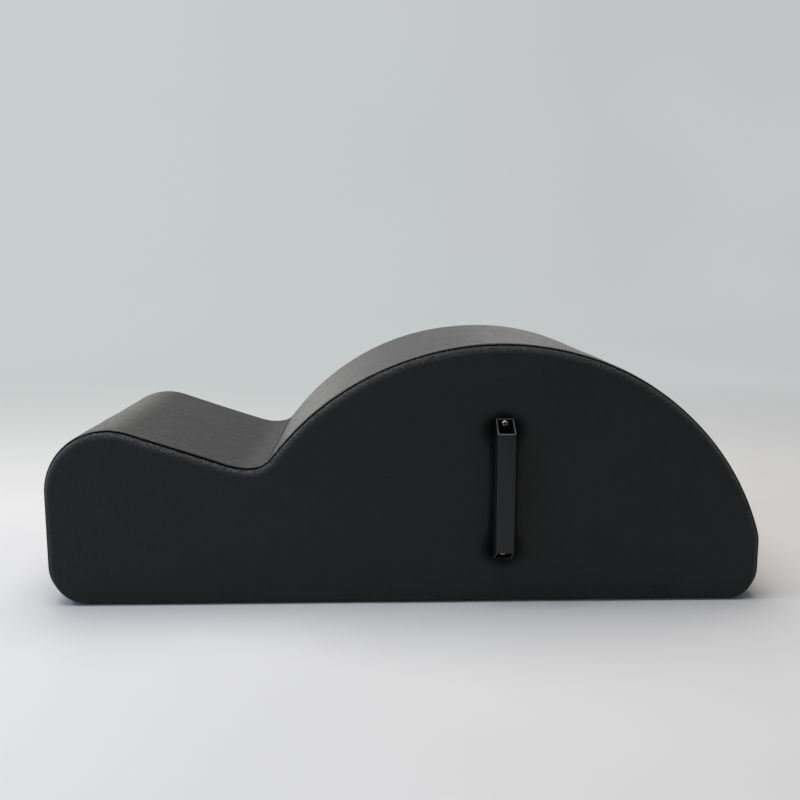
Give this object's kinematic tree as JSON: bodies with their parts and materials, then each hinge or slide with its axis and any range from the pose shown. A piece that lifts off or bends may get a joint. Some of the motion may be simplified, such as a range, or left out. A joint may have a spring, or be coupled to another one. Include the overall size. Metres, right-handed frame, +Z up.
{
  "type": "pilates spine corrector",
  "caption": "Upholstered exercise arc: a long padded barrel that runs down into a low rolled step, with a flush tube handle on each side.",
  "frame": {"origin": "on the floor, in the middle of the footprint", "axes": "+X runs along the length from the step end to the barrel end, +Y runs across from the pictured side to the rear side, +Z is up"},
  "size_m": [1, 0.4506, 0.3639],
  "materials": {
    "cover": "fine-grained synthetic leather, semi-matt",
    "thread": "waxed polyester thread",
    "base_cloth": "matt coated underside cloth",
    "foam": "firm polyurethane foam",
    "plywood": "sanded birch plywood",
    "handle": "black powder coat, satin",
    "zinc": "bright zinc plate"
  },
  "bodies": {
    "root": {"step_cover": "cover", "barrel_cover": "cover", "side_cover_front": "cover", "side_cover_rear": "cover", "seam_thread_front": "thread", "seam_thread_rear": "thread", "crease_thread": "thread", "base_cloth": "base_cloth", "step_pad": "foam", "barrel_pad": "foam", "side_pad_front": "foam", "side_pad_rear": "foam", "side_board_front": "plywood", "side_board_rear": "plywood", "middle_rib": "plywood", "base_board": "plywood", "valley_block": "plywood", "step_skin": "plywood", "barrel_skin": "plywood", "cross_batten_1": "plywood", "cross_batten_2": "plywood", "cross_batten_3": "plywood", "cross_batten_4": "plywood", "cross_batten_5": "plywood", "cross_batten_6": "plywood", "cross_batten_7": "plywood", "cross_batten_8": "plywood", "handle_front": "handle", "handle_rear": "handle", "handle_screw_front_upper": "zinc", "handle_screw_front_lower": "zinc", "handle_screw_rear_upper": "zinc", "handle_screw_rear_lower": "zinc", "t_nut_front_upper": "zinc", "t_nut_front_lower": "zinc", "t_nut_rear_upper": "zinc", "t_nut_rear_lower": "zinc", "wood_screw_1": "zinc", "wood_screw_2": "zinc", "wood_screw_3": "zinc", "wood_screw_4": "zinc", "wood_screw_5": "zinc", "wood_screw_6": "zinc"}
  },
  "joints": []
}
